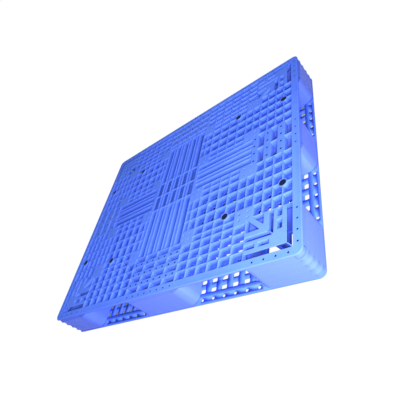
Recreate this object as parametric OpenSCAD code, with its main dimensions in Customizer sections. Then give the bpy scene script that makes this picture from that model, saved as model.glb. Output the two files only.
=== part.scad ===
// Double-faced, four-way-entry plastic pallet.
// Two grid decks, nine hollow blocks between them and round anti-slip plugs let into the top one.
// Origin: middle of the underside. X runs along the long side, Z points up.

/* [Overall] */
// Length along X
pallet_l = 1300; // [1080:5:1600]
// Width along Y
pallet_w = 1100; // [915:5:1400]
// Height over both decks
pallet_h = 150; // [120:1:200]
// Radius of the four plan corners
corner_r = 24; // [18:1:30]

/* [Deck] */
// Thickness of the top deck over its ribs
top_deck_t = 26; // [21:0.5:32]
// Thickness of the bottom deck over its ribs
bottom_deck_t = 16; // [13.5:0.5:20]
// Depth of the open pattern over a corner block
pattern_t = 18; // [14:0.5:20]
// Thickness of the deck's floor, on the inner side of its ribs
floor_t = 5; // [4:0.5:7]
// Thickness of a rib
rib_t = 4.5; // [3:0.1:6]
// Width of the flat rim
rim_w = 31; // [27:1:38]
// Height of the rim's outer edge over the fork openings
rim_edge_t = 8; // [6:0.5:10]
// Width of the sloped lead-in under the rim
lead_in_w = 24; // [18:1:27]
// Bevel of the rim's outer edge
rim_bevel = 5; // [3:0.5:6]
// Skin of the closed cells beside the block corners
skin_t = 5; // [3:0.5:7]
// Thickness of the lip beside the corner slots
lip_t = 3; // [2.5:0.5:6]

/* [Grid] */
// Rib pitch along X between the blocks
pitch_x = 50; // [40:1:62]
// Rib pitch along Y between the blocks
pitch_y = 53.5; // [43:0.5:66]
// Narrowest cell beside a block
edge_cell = 30; // [24:1:36]
// Cells across the band behind the rim
band_cells = 4; // [3:1:5]
// Widest drain hole in a cell floor
drain_max = 25; // [18:1:30]
// Floor left around a drain hole
drain_margin = 8.25; // [6:0.25:10]
// Widest drain in the bottom deck, between the blocks
open_max = 50; // [48:1:56]
// Floor left around such a drain
open_margin = 4; // [3:0.5:6]
// Small round holes in the closed cells and strips
vent_d = 9; // [6:0.5:11]
// Pitch of the paired slats beside the middle line along Y
slat_pitch_x = 53; // [45:0.5:60]
// Distance between the two ribs of such a slat
slat_w_x = 19.5; // [16:0.5:23]
// Pitch of the paired slats beside the middle line along X
slat_pitch_y = 56.5; // [50:0.5:60]
// Distance between the two ribs of such a slat
slat_w_y = 22.5; // [18:0.5:26]
// Diameter of the round gate pads on the ribs
gate_pad_d = 20; // [14:1:26]

/* [Rim holes] */
// Diameter of the holes in the rim over the blocks
rim_hole_d = 7; // [5:0.5:9]
// Pitch of those holes
rim_hole_pitch = 42; // [35:1:50]
// Distance of the rim holes from the outer face
rim_hole_in = 15.5; // [13:0.5:18]
// Drain holes through the bottom deck's rim
rim_drain_d = 14; // [10:1:16]

/* [Blocks] */
// Length of a corner block along X
corner_block_l = 222; // [205:1:245]
// Width of a corner block along Y
corner_block_w = 212; // [195:1:235]
// Length of a side block along X
side_block_l = 304; // [260:1:330]
// Width of an end block along Y
end_block_w = 204; // [180:1:225]
// Radius of the blocks' corners beside the forks
block_r = 40; // [30:1:48]
// Wall of a block
block_wall = 6; // [5:0.5:8]
// Webs inside a block
web_t = 4; // [3:0.5:6]
// Horizontal ridges around each outer corner
ridges = 4; // [3:1:5]
// Thickness of a ridge
ridge_t = 7; // [5:0.5:10]
// Depth of the hollows between ridges, on the corner's diagonal
ridge_depth = 6; // [4:0.5:8]

/* [Joints] */
// Thickness of the tongue around a block's ends
tongue_t = 2.6; // [2:0.1:3]
// Height of the tongue
tongue_h = 2.6; // [2:0.1:3]
// Clearance of a tongue in its groove
tongue_gap = 0.3; // [0.2:0.05:0.4]

/* [Plugs] */
// Diameter of a plug's head
plug_d = 28; // [24:1:34]
// Height of a plug's head
plug_head_t = 6; // [4:0.5:8]
// Diameter of a plug's stem
plug_stem_d = 12; // [9:0.5:15]
// Wall of the deck's socket around a plug
socket_wall = 4; // [3:0.5:6]
// Clearance of a plug in its socket
plug_gap = 0.15; // [0.1:0.05:0.3]

/* [Hidden] */
$fn = 64;
cut = 1;
half_l = pallet_l / 2;
half_w = pallet_w / 2;

// Fork lanes, each from a middle block's face to a corner block's face
lane_x0 = side_block_l / 2;
lane_x1 = half_l - corner_block_l;
lane_y0 = end_block_w / 2;
lane_y1 = half_w - corner_block_w;
// Inner edge of the rim
rim_x = half_l - rim_w;
rim_y = half_w - rim_w;
// How far the lane grid runs on over the middle blocks and over the corner blocks
past_mid_x = 26;
past_mid_y = 29;
past_corner_x = 37;
past_corner_y = 30;
// The block patterns start this far inside a block's face
zone_in = 14;

function spread(lo, hi, pitch) =
    let (n = floor((hi - lo - 2 * edge_cell) / pitch))
    [for (i = [0 : n]) (lo + hi) / 2 + (i - n / 2) * pitch];
function divide(lo, hi, n) = [for (i = [0 : n]) lo + (hi - lo) * i / n];

lane_ribs_x = spread(lane_x0, lane_x1, pitch_x);
lane_ribs_y = spread(lane_y0, lane_y1, pitch_y);
grid_x = concat([lane_x0 - past_mid_x, lane_x0], lane_ribs_x, [lane_x1, lane_x1 + past_corner_x]);
grid_y = concat([lane_y0 - past_mid_y, lane_y0], lane_ribs_y, [lane_y1, lane_y1 + past_corner_y]);
band_ribs_x = divide(lane_x1 + past_corner_x, rim_x + rib_t / 2, band_cells);
band_ribs_y = divide(lane_y1 + past_corner_y, rim_y + rib_t / 2, band_cells);
side_ribs_x = concat([lane_x0 - zone_in], lane_ribs_x, [lane_x1 + zone_in]);
end_ribs_y = concat([lane_y0 - zone_in], lane_ribs_y, [lane_y1 + zone_in]);

// Slat ribs, in pairs: two pairs each side of the middle along Y, one pair along X
slat_ribs_x = [for (i = [0, 1]) for (s = [-1, 1]) (i + 0.5) * slat_pitch_x + s * slat_w_x / 2];
slat_ribs_y = [for (s = [-1, 1]) slat_pitch_y / 2 + s * slat_w_y / 2];
slat_edges_x = concat([-slat_ribs_x[0]], slat_ribs_x, [grid_x[0]]);
slat_edges_y = concat([-slat_ribs_y[0]], slat_ribs_y, [grid_y[0]]);

// Nested bands of a corner block's pattern, as distances in from the rim's inner edge
slot_w = 20;
strip_a = 36;
pocket_w = 19;
strip_b = 67;
channel_w = 20;
strip_c = 105;
corner_zone_x = rim_x - lane_x1 - zone_in;
corner_zone_y = rim_y - lane_y1 - zone_in;
pocket_gap = 13;
diagonal_w = 20;

// Pockets over the side and end blocks, with the open share of each row or column
pocket_rows = 4;
row_share = 0.55;
end_columns = 3;
column_share = 0.5;
side_vents = 4;
end_vents = 2;
side_zone_x = lane_x0 - zone_in;
side_zone_y0 = lane_y1 + zone_in;
end_zone_x0 = lane_x1 + past_corner_x;
end_zone_y = lane_y0 - zone_in;
row_pitch = (rim_y - side_zone_y0) / (pocket_rows - 1 + row_share);
row_h = row_pitch * row_share;
column_pitch = (rim_x - end_zone_x0) / (end_columns - 1 + column_share);
column_w = column_pitch * column_share;
side_vent_pitch = side_zone_x / side_vents;
end_vent_pitch = end_zone_y / end_vents;
// Rim holes over a corner block, and the clear rim between the first of them and the corner's round
corner_holes = 4;
corner_hole_clear = 22;
// Floor left beside a rim drain, across the hollow it starts from
rim_drain_ledge = 1.75;

// Plugs sit on rib crossings: one between the blocks and one in the end band, in each quarter
plug_spots = [
    [lane_ribs_x[len(lane_ribs_x) - 2], lane_ribs_y[len(lane_ribs_y) - 1]],
    [band_ribs_x[len(band_ribs_x) - 2], lane_ribs_y[len(lane_ribs_y) - 2]]
];
gate_spots = [
    [lane_ribs_x[1], lane_ribs_y[1]],
    [lane_ribs_x[1], band_ribs_y[2]]
];
quarters = [[-1, -1], [1, -1], [-1, 1], [1, 1]];
plugs = [for (s = plug_spots) for (q = quarters) [s[0] * q[0], s[1] * q[1]]];
socket_d = plug_d + 2 * plug_gap;
stem_hole_d = plug_stem_d + 2 * plug_gap;
barb_d = plug_stem_d + 3;
barb_t = 3;
plug_bevel = 1;

ridge_pitch = pallet_h / (ridges + 1);
// The hollows between ridges are rounder than the corner, and end in a crease on both faces
hollow_edge = 2;
hollow_r = corner_r + (ridge_depth + hollow_edge * sqrt(2)) * (1 + sqrt(2));
// How far around a block's rounded edge the lead-in starts
lead_start = 7;
block_h = pallet_h - top_deck_t - bottom_deck_t;

deck_blue = [0.22, 0.40, 0.92];
block_blue = [0.25, 0.38, 0.88];
plug_black = [0.13, 0.10, 0.14];

corner_names = ["front_left", "front_right", "rear_left", "rear_right"];

// Copies of a first-quarter shape in all four quarters
module four_quarters() {
    for (mx = [0, 1])
        for (my = [0, 1])
            mirror([mx, 0, 0])
                mirror([0, my, 0])
                    children();
}

module box(x0, x1, y0, y1, z0, z1) {
    translate([x0, y0, z0])
        cube([x1 - x0, y1 - y0, z1 - z0]);
}

// A rectangle with its own radius on each corner: low X low Y, high X low Y, high X high Y, low X high Y
module rounded(x0, x1, y0, y1, r) {
    difference() {
        translate([x0, y0])
            square([x1 - x0, y1 - y0]);
        nook(x0, y0, r[0], 0);
        nook(x1, y0, r[1], 90);
        nook(x1, y1, r[2], 180);
        nook(x0, y1, r[3], 270);
    }
}

// What a rounded corner takes off a square one
module nook(x, y, r, turn) {
    translate([x, y])
        rotate(turn)
            difference() {
                translate([-cut, -cut])
                    square(r + cut);
                translate([r, r])
                    circle(r);
            }
}

// A pocket between two ribs' middles, open at the outer face
module cell(x0, x1, y0, y1) {
    r = rib_t / 2;
    box(x0 + r, x1 - r, y0 + r, y1 - r, floor_t, $plate_t + cut);
}

// A drain through a cell's floor, kept inside a fork lane so that it never opens over a block's wall
module drain(x0, x1, y0, y1, lo_x, hi_x, lo_y, hi_y, most = drain_max, margin = drain_margin) {
    w = min(most, x1 - x0 - rib_t - 2 * margin);
    h = min(most, y1 - y0 - rib_t - 2 * margin);
    mx = (x0 + x1) / 2;
    my = (y0 + y1) / 2;
    box(max(mx - w / 2, lo_x), min(mx + w / 2, hi_x),
        max(my - h / 2, lo_y), min(my + h / 2, hi_y), -cut, floor_t + cut);
}

// True for the two cells at either end of a list of ribs, beside and over a block
function is_end(i, list) = i < 2 || i > len(list) - 4;

// The square cells between the blocks, with closed cells beside each block corner
module lane_cells() {
    for (i = [0 : len(grid_x) - 2])
        for (j = [0 : len(grid_y) - 2])
            if (!(is_end(i, grid_x) && is_end(j, grid_y)))
                cell(grid_x[i], grid_x[i + 1], grid_y[j], grid_y[j + 1]);
}

module lane_drains() {
    for (i = [1 : len(grid_x) - 3])
        for (j = [1 : len(grid_y) - 3])
            if (!(is_end(i, grid_x) && is_end(j, grid_y)))
                drain(grid_x[i], grid_x[i + 1], grid_y[j], grid_y[j + 1],
                      lane_x0 + cut, lane_x1 - cut, lane_y0 + cut, lane_y1 - cut);
}

// A wide drain in a cell that lies over a fork lane
module wide_drain(x0, x1, y0, y1) {
    drain(x0, x1, y0, y1, 0, half_l, 0, half_w, open_max, open_margin);
}

// The bottom deck is more open between the blocks: wide drains, and no rib behind the long sides' bands
module wide_drains() {
    for (i = [0 : len(grid_x) - 2])
        for (j = [0 : len(grid_y) - 3])
            if (!(is_end(i, grid_x) && is_end(j, grid_y)))
                wide_drain(grid_x[i], grid_x[i + 1], grid_y[j], grid_y[j + 1]);
    for (i = [0 : len(lane_ribs_x) - 2]) {
        cell(lane_ribs_x[i], lane_ribs_x[i + 1], lane_y1, band_ribs_y[1]);
        wide_drain(lane_ribs_x[i], lane_ribs_x[i + 1], lane_y1, band_ribs_y[1]);
    }
}

// Where a closed cell's hole is along Y: its middle, or short of the pattern over a side or corner block
function vent_middle(j) = (grid_y[j] + min(grid_y[j + 1], side_zone_y0)) / 2;

// Closed cells: a small round hole in each, and a hollow on the inner side of the one between the blocks
module closed_cells() {
    r = rib_t / 2;
    for (i = [0 : len(grid_x) - 2])
        for (j = [0 : len(grid_y) - 2])
            if (is_end(i, grid_x) && is_end(j, grid_y))
                translate([(grid_x[i] + grid_x[i + 1]) / 2, vent_middle(j), floor_t])
                    cylinder(h = $plate_t, d = vent_d);
    for (i = [1, len(grid_x) - 3])
        for (j = [1, len(grid_y) - 3])
            box(grid_x[i] + r, grid_x[i + 1] - r, grid_y[j] + r, grid_y[j + 1] - r, -cut, $plate_t - skin_t);
}

module vent(x, y, d) {
    translate([x, y, -cut])
        cylinder(h = $plate_t + 2 * cut, d = d);
}

// The bands of cells behind the rim, between the block patterns
module band_cells_cut() {
    for (i = [0 : len(side_ribs_x) - 2])
        for (j = [0 : len(band_ribs_y) - 2])
            cell(side_ribs_x[i], side_ribs_x[i + 1], band_ribs_y[j], band_ribs_y[j + 1]);
    for (i = [0 : len(band_ribs_x) - 2])
        for (j = [0 : len(end_ribs_y) - 2])
            cell(band_ribs_x[i], band_ribs_x[i + 1], end_ribs_y[j], end_ribs_y[j + 1]);
}

module band_drains() {
    for (i = [0 : len(side_ribs_x) - 2])
        for (j = [0 : len(band_ribs_y) - 2])
            drain(side_ribs_x[i], side_ribs_x[i + 1], band_ribs_y[j], band_ribs_y[j + 1],
                  lane_x0 + cut, lane_x1 - cut, 0, half_w);
    for (i = [0 : len(band_ribs_x) - 2])
        for (j = [0 : len(end_ribs_y) - 2])
            drain(band_ribs_x[i], band_ribs_x[i + 1], end_ribs_y[j], end_ribs_y[j + 1],
                  0, half_l, lane_y0 + cut, lane_y1 - cut);
}

// Long grooves between the slat ribs, both ways from the centre block
module slat_grooves() {
    for (i = [0 : len(slat_edges_x) - 2])
        cell(slat_edges_x[i], slat_edges_x[i + 1], end_ribs_y[0], end_ribs_y[len(end_ribs_y) - 1]);
    for (j = [0 : len(slat_edges_y) - 2])
        cell(side_ribs_x[0], side_ribs_x[len(side_ribs_x) - 1], slat_edges_y[j], slat_edges_y[j + 1]);
}

module open_pocket(x0, x1, y0, y1, top = $plate_t + cut) {
    box(x0, x1, y0, y1, -cut, top);
}

// Over the centre block: shallow channels inside the slats, open slots between them
module centre_pattern() {
    r = rib_t / 2;
    for (i = [0 : len(slat_edges_x) - 2]) {
        x0 = slat_edges_x[i] + r;
        x1 = slat_edges_x[i + 1] - r;
        box(x0, x1, r, end_ribs_y[0] - r, i % 2 == 0 ? -cut : floor_t, $plate_t + cut);
    }
}

// Over a side block: rows of open pockets with strips of round holes between
module side_pattern() {
    strip_h = row_pitch - row_h;
    half = side_zone_x / 2;
    r = rib_t / 2;
    for (i = [0 : pocket_rows - 1]) {
        y = side_zone_y0 + i * row_pitch;
        for (k = [0, 1])
            open_pocket(k * half + r, (k + 1) * half - r, y, y + row_h);
        if (i > 0)
            for (k = [0 : side_vents - 1])
                vent((k + 0.5) * side_vent_pitch, y - strip_h / 2, vent_d);
    }
}

// Over an end block: columns of open pockets with strips of round holes between
module end_pattern() {
    strip_w = column_pitch - column_w;
    for (i = [0 : end_columns - 1]) {
        x = end_zone_x0 + i * column_pitch;
        open_pocket(x, x + column_w, rib_t / 2, end_zone_y);
        for (k = [0 : end_vents - 1])
            vent(x - strip_w / 2, (k + 0.5) * end_vent_pitch, vent_d);
    }
}

// One leg pair of an L, between two distances in from the rim, cut short at the far ends
module ell(from, to, top = $plate_t + cut) {
    open_pocket(rim_x - corner_zone_x, rim_x - from, rim_y - to, rim_y - from, top);
    open_pocket(rim_x - to, rim_x - from, rim_y - corner_zone_y, rim_y - from, top);
}

// A web at 45 degrees through the corner of the rim's inner edge
module diagonal(width, reach) {
    translate([rim_x, rim_y, -2 * cut])
        rotate(225)
            translate([-reach, -width / 2, 0])
                cube([2 * reach, width, $plate_t + 4 * cut]);
}

// Over a corner block: nested L slots around a square split by a diagonal
module corner_pattern() {
    reach = corner_block_l + corner_block_w;
    leg_x = corner_zone_x - strip_a - pocket_w - pocket_gap;
    leg_y = corner_zone_y - strip_a - pocket_w - pocket_gap;
    difference() {
        union() {
            // The outer slot, with a thin lip beside it
            ell(0, slot_w);
            ell(0, strip_a - rib_t, $plate_t - lip_t);
            ell(strip_b, strip_b + channel_w);
        }
        diagonal(web_t, reach);
    }
    for (k = [0, 1]) {
        x = rim_x - corner_zone_x + k * leg_x / 2;
        open_pocket(x, x + leg_x / 2 - pocket_gap, rim_y - strip_a - pocket_w, rim_y - strip_a);
        y = rim_y - corner_zone_y + k * leg_y / 2;
        open_pocket(rim_x - strip_a - pocket_w, rim_x - strip_a, y, y + leg_y / 2 - pocket_gap);
    }
    difference() {
        open_pocket(rim_x - corner_zone_x, rim_x - strip_c, rim_y - corner_zone_y, rim_y - strip_c);
        diagonal(diagonal_w, reach);
    }
    // A thick deck is hollow below the pattern
    if ($plate_t > pattern_t)
        open_pocket(rim_x - corner_zone_x, rim_x, rim_y - corner_zone_y, rim_y, $plate_t - pattern_t);
}

// Holes in the rim over the blocks
module rim_holes() {
    for (k = [0 : corner_holes - 1]) {
        run = corner_r + corner_hole_clear + k * rim_hole_pitch;
        vent(half_l - run, half_w - rim_hole_in, rim_hole_d);
        vent(half_l - rim_hole_in, half_w - run, rim_hole_d);
    }
    for (k = [0 : side_vents - 1])
        vent((k + 0.5) * side_vent_pitch, half_w - rim_hole_in, rim_hole_d);
    for (k = [0 : end_vents - 1])
        vent(half_l - rim_hole_in, (k + 0.5) * end_vent_pitch, rim_hole_d);
}

// A drain through the rim over a fork lane, with a wide hollow on the ground side
module rim_drain(x, y, wide, deep) {
    vent(x, y, rim_drain_d);
    box(x - wide / 2, x + wide / 2, y - deep / 2, y + deep / 2, $plate_t / 2, $plate_t + cut);
}

// One rim drain beside each cell of the bands
module rim_drains() {
    deep = rim_drain_d + 2 * rim_drain_ledge;
    inset = rim_w / 2;
    wide_x = pitch_x - 2 * drain_margin;
    wide_y = pitch_y - 2 * drain_margin;
    for (i = [0 : len(side_ribs_x) - 2])
        rim_drain((side_ribs_x[i] + side_ribs_x[i + 1]) / 2, half_w - inset, wide_x, deep);
    for (i = [0 : len(end_ribs_y) - 2])
        rim_drain(half_l - inset, (end_ribs_y[i] + end_ribs_y[i + 1]) / 2, deep, wide_y);
}

// The sloped underside of the rim where a fork comes in, as a wedge along X from the outer face
module lead_in(length) {
    rise = $plate_t - rim_edge_t;
    past = cut * lead_in_w / rise;
    rotate([90, 0, 90])
        linear_extrude(length)
            polygon([[-cut, -cut], [lead_in_w + past, -cut], [-cut, rise * (1 + cut / lead_in_w)]]);
}

module lead_ins() {
    start_x = lane_x0 - block_r + lead_start;
    start_y = lane_y0 - block_r + lead_start;
    difference() {
        union() {
            translate([start_x, half_w, 0])
                mirror([0, 1, 0])
                    lead_in(lane_x1 + block_r - lead_start - start_x);
            translate([half_l, start_y, 0])
                rotate(90)
                    lead_in(lane_y1 + block_r - lead_start - start_y);
        }
        translate([0, 0, -2 * cut])
            linear_extrude($plate_t) {
                side_outline(0);
                end_outline(0);
                corner_outline(0);
            }
    }
}

// The deck before any cut: a slab with a bevelled outer edge
module deck_blank() {
    flat = $plate_t - rim_bevel;
    linear_extrude(flat)
        rounded(-half_l, half_l, -half_w, half_w, [corner_r, corner_r, corner_r, corner_r]);
    translate([0, 0, flat]) {
        rotate([90, 0, 0])
            linear_extrude(pallet_w - 2 * corner_r, center = true)
                bevel_profile(half_l);
        rotate([90, 0, 90])
            linear_extrude(pallet_l - 2 * corner_r, center = true)
                bevel_profile(half_w);
        four_quarters()
            translate([half_l - corner_r, half_w - corner_r, 0])
                cylinder(h = rim_bevel, r1 = corner_r, r2 = corner_r - rim_bevel);
    }
}

module bevel_profile(half) {
    polygon([[-half, 0], [half, 0], [half - rim_bevel, rim_bevel], [rim_bevel - half, rim_bevel]]);
}

// Outlines of the blocks in the first quarter, shrunk on every side by the inset
module corner_outline(inset, ridged_r = corner_r) {
    r = block_r - inset;
    rounded(lane_x1 + inset, half_l - inset, lane_y1 + inset, half_w - inset, [r, r, ridged_r, r]);
}

module side_outline(inset) {
    r = block_r - inset;
    rounded(inset - lane_x0, lane_x0 - inset, lane_y1 + inset, half_w - inset, [r, r, r, r]);
}

module end_outline(inset) {
    r = block_r - inset;
    rounded(lane_x1 + inset, half_l - inset, inset - lane_y0, lane_y0 - inset, [r, r, r, r]);
}

module centre_outline(inset) {
    r = block_r - inset;
    rounded(inset - lane_x0, lane_x0 - inset, inset - lane_y0, lane_y0 - inset, [r, r, r, r]);
}

tongue_in = (block_wall - tongue_t) / 2;

// Grooves in the deck's inner face for the tongues of the blocks
module grooves() {
    near = tongue_in - tongue_gap;
    far = tongue_in + tongue_t + tongue_gap;
    translate([0, 0, -cut])
        linear_extrude(tongue_h + tongue_gap + cut) {
            four_quarters()
                difference() {
                    corner_outline(near, hollow_r - near);
                    corner_outline(far, hollow_r - far);
                }
            for (m = [0, 1]) {
                mirror([0, m, 0])
                    difference() {
                        side_outline(near);
                        side_outline(far);
                    }
                mirror([m, 0, 0])
                    difference() {
                        end_outline(near);
                        end_outline(far);
                    }
            }
            difference() {
                centre_outline(near);
                centre_outline(far);
            }
        }
}

// One grid deck with its inner face at Z = 0, of the thickness in $plate_t
module deck(plugged) {
    difference() {
        union() {
            difference() {
                deck_blank();
                four_quarters() {
                    lane_cells();
                    band_cells_cut();
                    slat_grooves();
                    centre_pattern();
                }
                four_quarters() {
                    lane_drains();
                    band_drains();
                    closed_cells();
                    if (!plugged)
                        wide_drains();
                }
                four_quarters() {
                    side_pattern();
                    end_pattern();
                    corner_pattern();
                    rim_holes();
                    if (!plugged)
                        rim_drains();
                }
            }
            four_quarters() {
                if (plugged)
                    for (s = plug_spots)
                        translate(s)
                            cylinder(h = $plate_t, d = socket_d + 2 * socket_wall);
                for (s = gate_spots)
                    translate(s)
                        cylinder(h = $plate_t, d = gate_pad_d);
            }
        }
        if (plugged)
            four_quarters()
                for (s = plug_spots)
                    translate(s) {
                        translate([0, 0, $plate_t - plug_head_t])
                            cylinder(h = plug_head_t + cut, d = socket_d);
                        translate([0, 0, -cut])
                            cylinder(h = $plate_t, d = stem_hole_d);
                        translate([0, 0, -cut])
                            cylinder(h = cut + barb_t, d = barb_d + 2 * plug_gap);
                    }
        four_quarters()
            lead_ins();
        grooves();
    }
}

// The hollow between two ridges, or between a ridge and a deck's rim, in the first quarter
module ridge_hollow(level) {
    z0 = level == 0 ? rim_edge_t : level * ridge_pitch + ridge_t / 2;
    z1 = level == ridges ? pallet_h - rim_edge_t : (level + 1) * ridge_pitch - ridge_t / 2;
    translate([0, 0, z0])
        linear_extrude(z1 - z0)
            nook(half_l + hollow_edge, half_w + hollow_edge, hollow_r, 180);
}

module ridge_hollows() {
    four_quarters()
        for (level = [0 : ridges])
            ridge_hollow(level);
}

module top_deck() {
    color(deck_blue)
        difference() {
            translate([0, 0, pallet_h - top_deck_t])
                deck(true, $plate_t = top_deck_t);
            ridge_hollows();
        }
}

module bottom_deck() {
    color(deck_blue)
        difference() {
            translate([0, 0, bottom_deck_t])
                rotate([180, 0, 0])
                    deck(false, $plate_t = bottom_deck_t);
            ridge_hollows();
        }
}

// A ring of wall between two outlines, from the bottom deck to the top deck, with its two tongues.
// Children: outer outline, cavity outline, then the tongue's outer and inner outlines.
module hollow_block() {
    translate([0, 0, bottom_deck_t])
        linear_extrude(block_h)
            difference() {
                children(0);
                children(1);
            }
    translate([0, 0, bottom_deck_t - tongue_h])
        linear_extrude(block_h + 2 * tongue_h)
            difference() {
                children(2);
                children(3);
            }
}

// A web inside a block, as a box between the decks
module web(x0, x1, y0, y1) {
    box(x0, x1, y0, y1, bottom_deck_t, pallet_h - top_deck_t);
}

module corner_block(sx, sy) {
    color(block_blue)
        mirror([sx < 0 ? 1 : 0, 0, 0])
            mirror([0, sy < 0 ? 1 : 0, 0])
                difference() {
                    union() {
                        hollow_block() {
                            corner_outline(0);
                            corner_outline(block_wall, hollow_r - block_wall);
                            corner_outline(tongue_in, hollow_r - tongue_in);
                            corner_outline(tongue_in + tongue_t, hollow_r - tongue_in - tongue_t);
                        }
                        corner_web();
                    }
                    for (level = [0 : ridges])
                        ridge_hollow(level);
                }
}

// The web across a corner block, from its inner corner to its ridged one
module corner_web() {
    intersection() {
        translate([0, 0, bottom_deck_t])
            linear_extrude(block_h)
                corner_outline(block_wall / 2, corner_r);
        translate([rim_x, rim_y, bottom_deck_t])
            rotate(225)
                translate([-corner_block_l, -web_t / 2, 0])
                    cube([3 * corner_block_l, web_t, block_h]);
    }
}

module side_block(sy) {
    lap = block_wall / 2;
    mid = side_zone_y0 + 2 * row_pitch - (row_pitch - row_h) / 2;
    color(block_blue)
        mirror([0, sy < 0 ? 1 : 0, 0]) {
            hollow_block() {
                side_outline(0);
                side_outline(block_wall);
                side_outline(tongue_in);
                side_outline(tongue_in + tongue_t);
            }
            for (x = [-side_zone_x / 2, 0, side_zone_x / 2])
                web(x - web_t / 2, x + web_t / 2, lane_y1 + lap, half_w - lap);
            web(lap - lane_x0, lane_x0 - lap, mid - web_t / 2, mid + web_t / 2);
        }
}

module end_block(sx) {
    lap = block_wall / 2;
    mid = end_zone_x0 + column_pitch - (column_pitch - column_w) / 2;
    color(block_blue)
        mirror([sx < 0 ? 1 : 0, 0, 0]) {
            hollow_block() {
                end_outline(0);
                end_outline(block_wall);
                end_outline(tongue_in);
                end_outline(tongue_in + tongue_t);
            }
            web(lane_x1 + lap, half_l - lap, -web_t / 2, web_t / 2);
            web(mid - web_t / 2, mid + web_t / 2, lap - lane_y0, lane_y0 - lap);
        }
}

module centre_block() {
    lap = block_wall / 2;
    color(block_blue) {
        hollow_block() {
            centre_outline(0);
            centre_outline(block_wall);
            centre_outline(tongue_in);
            centre_outline(tongue_in + tongue_t);
        }
        web(lap - lane_x0, lane_x0 - lap, -web_t / 2, web_t / 2);
        for (x = [-slat_pitch_x / 2, slat_pitch_x / 2])
            web(x - web_t / 2, x + web_t / 2, lap - lane_y0, lane_y0 - lap);
    }
}

// A plug: a round head, a stem through the deck and a barb on its inner end, with its face at Z = 0
module plug_body() {
    head_r = plug_d / 2;
    stem_r = plug_stem_d / 2;
    seat = plug_gap - plug_head_t;
    ledge = barb_t - plug_gap - top_deck_t;
    rotate_extrude()
        polygon([
            [0, 0], [head_r - plug_bevel, 0], [head_r, -plug_bevel], [head_r, seat],
            [stem_r, seat], [stem_r, ledge], [barb_d / 2, ledge],
            [stem_r, -top_deck_t], [0, -top_deck_t]
        ]);
}

module plug(i) {
    color(plug_black)
        translate([plugs[i][0], plugs[i][1], pallet_h])
            plug_body();
}

top_deck();
bottom_deck();
for (i = [0 : 3])
    corner_block(quarters[i][0], quarters[i][1]);
side_block(-1);  // side_block_front
side_block(1);  // side_block_rear
end_block(-1);  // end_block_left
end_block(1);  // end_block_right
centre_block();
for (i = [0 : len(plugs) - 1])
    plug(i);
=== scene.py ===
"""Looks of a double-faced plastic pallet, built around its packed construction. Sizes are in millimetres."""

import bpy
import numpy as np
from mathutils import Euler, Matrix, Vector
from mathutils.geometry import delaunay_2d_cdt


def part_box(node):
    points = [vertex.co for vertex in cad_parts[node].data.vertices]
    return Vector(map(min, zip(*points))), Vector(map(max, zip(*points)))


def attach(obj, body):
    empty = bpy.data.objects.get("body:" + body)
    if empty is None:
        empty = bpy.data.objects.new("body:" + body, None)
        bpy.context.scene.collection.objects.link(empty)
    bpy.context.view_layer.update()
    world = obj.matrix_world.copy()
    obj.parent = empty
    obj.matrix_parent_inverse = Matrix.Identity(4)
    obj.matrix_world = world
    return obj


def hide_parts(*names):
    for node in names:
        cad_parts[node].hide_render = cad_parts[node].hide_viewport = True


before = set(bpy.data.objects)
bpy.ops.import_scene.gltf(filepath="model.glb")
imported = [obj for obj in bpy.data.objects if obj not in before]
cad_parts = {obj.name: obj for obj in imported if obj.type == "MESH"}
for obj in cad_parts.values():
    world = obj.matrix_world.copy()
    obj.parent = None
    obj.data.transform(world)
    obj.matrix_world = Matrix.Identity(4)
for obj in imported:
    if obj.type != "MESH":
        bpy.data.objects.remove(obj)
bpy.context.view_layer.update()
MM = 0.001


def node_box(name):
    """Low and high corner of a construction node."""
    return np.array(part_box(name)) / MM


# Overall sizes and the fork lanes, from the construction
half_l, half_w, height = node_box("top_deck")[1]
top_t = height - node_box("top_deck")[0][2]
bottom_t = node_box("bottom_deck")[1][2]
lane_x0, lane_y0 = node_box("centre_block")[1][:2]
lane_x1, lane_y1 = node_box("corner_block_rear_right")[0][:2]

# Deck sections: cell floors, ribs, the roof of a shut cell, the lip of an L slot and the corner pattern's depth
floor_t = 5.0
rib_t = 4.5
skin_t = 5.0
lip_t = 3.0
pattern_t = 18.0

# Rim: width, height of its edge over the fork lanes, slope below that edge, rounded top and corners in plan
rim_w = 31.0
rim_edge_t = 8.0
lead_in_w = 24.0
least_reach = 1.6
rim_bevel, corner_bevel = 4.0, 0.3
corner_r = 24.0
rim_x = half_l - rim_w
rim_y = half_w - rim_w

# Grid: rib pitches, cells past the lanes' edges, drains, and the slats about the middle
pitch_x, pitch_y = 50.0, 53.5
edge_cell = 30.0
past_mid_x, past_mid_y = 26.0, 29.0
past_corner_x, past_corner_y = 37.0, 30.0
zone_in = 14.0
band_cells = 4
drain_max, drain_margin = 25.0, 8.25
open_max, open_margin = 50.0, 4.0
slat_pitch_x, slat_w_x = 53.0, 19.5
slat_pitch_y, slat_w_y = 56.5, 22.5

# Round holes: vents in closed cells, vents in the rim and drains through the bottom rim
vent_d = 9.0
rim_hole_d, rim_hole_pitch, rim_hole_in = 7.0, 42.0, 15.5
rim_drain_d, rim_drain_ledge = 14.0, 1.75
corner_holes, corner_hole_clear = 4, 22.0

# Patterns over the blocks: rows over the side blocks, columns over the end blocks, and strips at the corners
pocket_rows, row_share = 4, 0.55
end_columns, column_share = 3, 0.5
side_vents, end_vents = 4, 2
slot_w, strip_a, pocket_w, strip_b, channel_w, strip_c = 20.0, 36.0, 19.0, 67.0, 20.0, 105.0
pocket_gap, diagonal_w = 13.0, 20.0

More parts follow.
